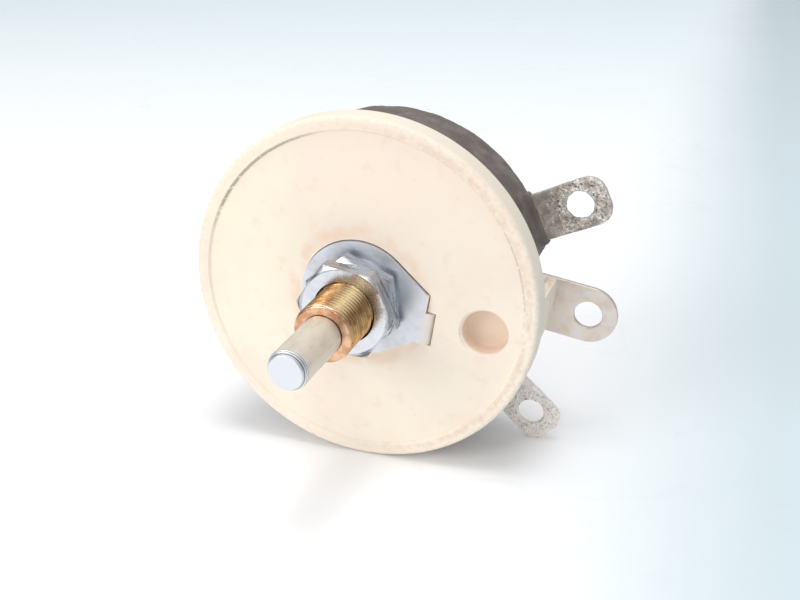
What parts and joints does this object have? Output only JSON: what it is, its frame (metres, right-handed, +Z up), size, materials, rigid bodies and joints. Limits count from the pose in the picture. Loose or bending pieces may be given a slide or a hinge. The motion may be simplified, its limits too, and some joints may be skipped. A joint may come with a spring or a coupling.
{
  "type": "wirewound rheostat",
  "caption": "Open round power rheostat: wirewound ring under enamel on a ceramic base, rotating brush on the rear, threaded panel bushing, long round shaft and solder lugs.",
  "frame": {"origin": "centre of the front rim face, on the shaft axis", "axes": "-Y along the shaft towards its knob end; +Z up as the control lies on its rim and lower lug; +X towards the terminals"},
  "size_m": [0.068, 0.0577, 0.0586],
  "materials": {
    "base_ceramic": "unglazed cream electrical ceramic, matte",
    "core_ceramic": "unglazed cream ceramic, matte",
    "resistance_wire": "close-wound oxidised alloy wire",
    "enamel": "fired grey-brown vitreous enamel, satin",
    "tinned_lug": "tinned strip with old solder",
    "plated_lug": "dull plated strip",
    "brass": "turned brass, satin",
    "zinc": "bright zinc plate",
    "shaft_plate": "dull nickel plate with a bright turned end",
    "bronze": "bronze, satin",
    "hub_ceramic": "unglazed ceramic, matte",
    "steel": "plated steel",
    "spring_steel": "spring strip, satin",
    "graphite": "metal graphite, matte",
    "copper_braid": "braided copper"
  },
  "bodies": {
    "frame": {"ceramic_base": "base_ceramic", "resistor_core": "core_ceramic", "resistance_winding": "resistance_wire", "enamel_coat": "enamel", "end_terminal_upper": "tinned_lug", "end_terminal_lower": "tinned_lug", "centre_terminal": "plated_lug", "bushing": "brass", "anchor_plate": "zinc", "spring_washer": "zinc", "inner_nut": "zinc", "outer_nut": "zinc"},
    "wiper": {"shaft": "shaft_plate", "thrust_washer": "brass", "slip_washer": "bronze", "wiper_hub": "hub_ceramic", "hub_pin": "steel", "contact_arm": "spring_steel", "arm_rivets": "bronze", "brush_box": "bronze", "brush": "graphite", "brush_shunt": "copper_braid", "pressure_spring": "steel", "spring_seat": "steel", "retaining_ring": "steel"}
  },
  "joints": [
    {"name": "shaft_turn", "type": "hinge", "parent": "frame", "child": "wiper", "pos_m": [0, 0, 0], "axis": [0, -1, 0], "range_deg": [-145, 145]}
  ]
}
